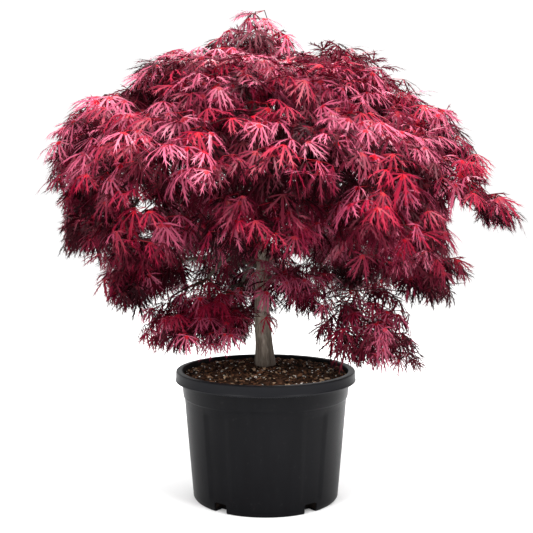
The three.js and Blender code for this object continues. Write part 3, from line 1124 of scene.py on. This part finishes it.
def leavesOf(mass, twigs, shapes, rng, outline, light):
    # A pair of leaves at each slender twig point, and one more at each tip. A leaf that would
    # stand out of the crown is turned and made smaller, and left out if that doesn't help.
    load = twigs.loads()
    children = set(twigs.parents)
    points, faces, slots, base = [], [], [], 0
    for i, point in enumerate(twigs.points):
        parent = twigs.parents[i]
        if parent < 0 or load[i] > twig["slender"]:
            continue
        ahead = (point - twigs.points[parent]).normalized()
        flat = Vector((ahead.x, ahead.y, 0)) + mass.out * 0.7
        flat += Vector((rng.normal() * 0.3, rng.normal() * 0.3, 0))
        flat = flat.normalized() if flat.length > 1e-3 else Vector((1, 0, 0))
        level = Vector((-flat.y, flat.x, 0))
        lit = light(point, mass.out)
        # The tint paints light and shade: the light through the leaves, each mass's painted tone, and
        # painted light over the crown's top.
        tone = lit + crown["tone"].get(mass.node, 0) + lerp(0.04, 0.3, smooth(0.8, 0.98, point.z))
        shade = sprayTint(tone, point.z, rng)
        where = "top" if mass.tier in ("apex", "crown") else "light"
        where = "lower" if mass.tier == "lower" else where if lit > 0.6 else "shade"
        for spread in leaf["pair" if i in children else "atTip"]:
            kind = rng.choice(list(leaf["kinds"]), p=leaf["odds"][where])
            (shape, shapeFaces, shapeSlots), tips = shapes[kind][rng.integers(len(shapes[kind]))]
            size = rng.uniform(*leaf["size"]) * lerp(0.8, 1, smooth(0.45, 0.75, point.z))
            for _ in range(4):
                turn = math.radians(spread + rng.normal() * 18)
                basis = leafBasis(flat * math.cos(turn) + level * math.sin(turn), rng)
                spots = tips * size @ basis + np.array(point)
                if outline.strays(spots, crown["proud"], crown["below"], crown["above"]) < 2:
                    break
                size *= 0.94
            else:
                continue
            points.append(shape * size @ basis + np.array(point))
            faces.append(shapeFaces + base)
            slots.append(np.choose(shapeSlots, leafChoices[shade]))
            base += len(shape)
    return np.vstack(points), np.vstack(faces), np.concatenate(slots)


def makeCrown(ends):
    rng = np.random.default_rng(2024)
    shapes = {}
    for kind, (low, high, fall) in leaf["kinds"].items():
        pitches = np.linspace(low, high, leaf["variants"])
        shapes[kind] = [leafShape(int(10 * p) + 700, p, fall) for p in pitches]
    masses = [Mass(n) for n in frame["nodes"] if "_foliage" in n]
    order = ["apex", "crown", "shoulder", "lower", "skirt", "inner"]
    masses.sort(key=lambda m: order.index(m.tier))

    def inside(point):  # how deep a point is in the crown, or minus how far out of it
        return max((m.depth(point) for m in masses if m.near(point)), default=-1)

    def light(point, out):  # how much of the sky's light comes through the leaves to a point
        share, step = 0, crown["sunStep"]
        for way in (up, up * 0.7 + out * 0.7, up * 0.3 + out * 0.95):
            leafy = sum(step for k in range(1, 8) if inside(point + way * step * k) > 0)
            share += math.exp(-leafy / crown["thickness"]) / 3
        return share

    outline = Outline(masses)
    held = []  # twig points that a mass with no bough of its own can hang from
    leaves = 0
    for mass in masses:
        boughName = mass.node.replace("_foliage", "_bough")
        if boughName in ends:
            root, heading, thick = ends[boughName]
        elif mass.tier == "apex":
            root, heading, thick = trunkMiddle(trunk["height"] - 0.004), up, 0.004
        else:
            top = Vector((mass.middle.x, mass.middle.y, mass.high.z)) - mass.out * 0.04
            if mass.tier == "inner":
                held += [trunkMiddle(z) for z in (0.12, 0.16, 0.2, 0.24)]
            root = min(held, key=lambda p: (p - top).length)
            heading, thick = (top - root).normalized(), 0.0026
        twigs = growMass(mass, root, heading, rng, outline)
        held += twigs.points
        label = mass.node.replace("_foliage", "")
        mesh = twigMesh(label + "_twigs", twigs, thick)
        finishPiece(label + "_twigs", mesh, [tint["twigYoung"], tint["twigOld"]], [mass.node])
        arrays = leavesOf(mass, twigs, shapes, rng, outline, light)
        mesh = joinedMesh(label + "_leaves", *arrays)
        finishPiece(label + "_leaves", mesh, [tint[t] for t in leafSlots], [mass.node])
        leaves += len(arrays[1]) // len(shapes["hung"][0][0][1])
    print("leaves", leaves)


makeCamera()
makeLights()
bm = bmesh.new()
bmesh.ops.create_grid(bm, x_segments=1, y_segments=1, size=floor["size"] / 2)
floorMesh = meshOf(bm, "floor")
floorMesh.materials.append(floorFinish())
floorPiece = bpy.data.objects.new("floor", floorMesh)
scene.collection.objects.link(floorPiece)
print("stage set")

makePot()
makeMix()
makeLitter()
print("pot and mix made")

bark = barkFinish("greyBark", 0.9)
# The boughs get a darker copy of the bark: partly younger bark, partly painted shade inside the crown.
youngShadedBark = barkFinish("darkBark", 0.3)
makeTrunk()
ends = {}
for tier in ("crown", "shoulder", "lower"):
    ends.update(makeBoughs(tier, sorted(n for n in frame["nodes"] if n.startswith(tier + "_bough"))))
print("trunk and boughs made")

makeCrown(ends)
print("crown made")

total = sum(len(o.data.polygons) for o in bpy.data.objects if o.type == "MESH" and not o.hide_render)
print("faces shown", total)
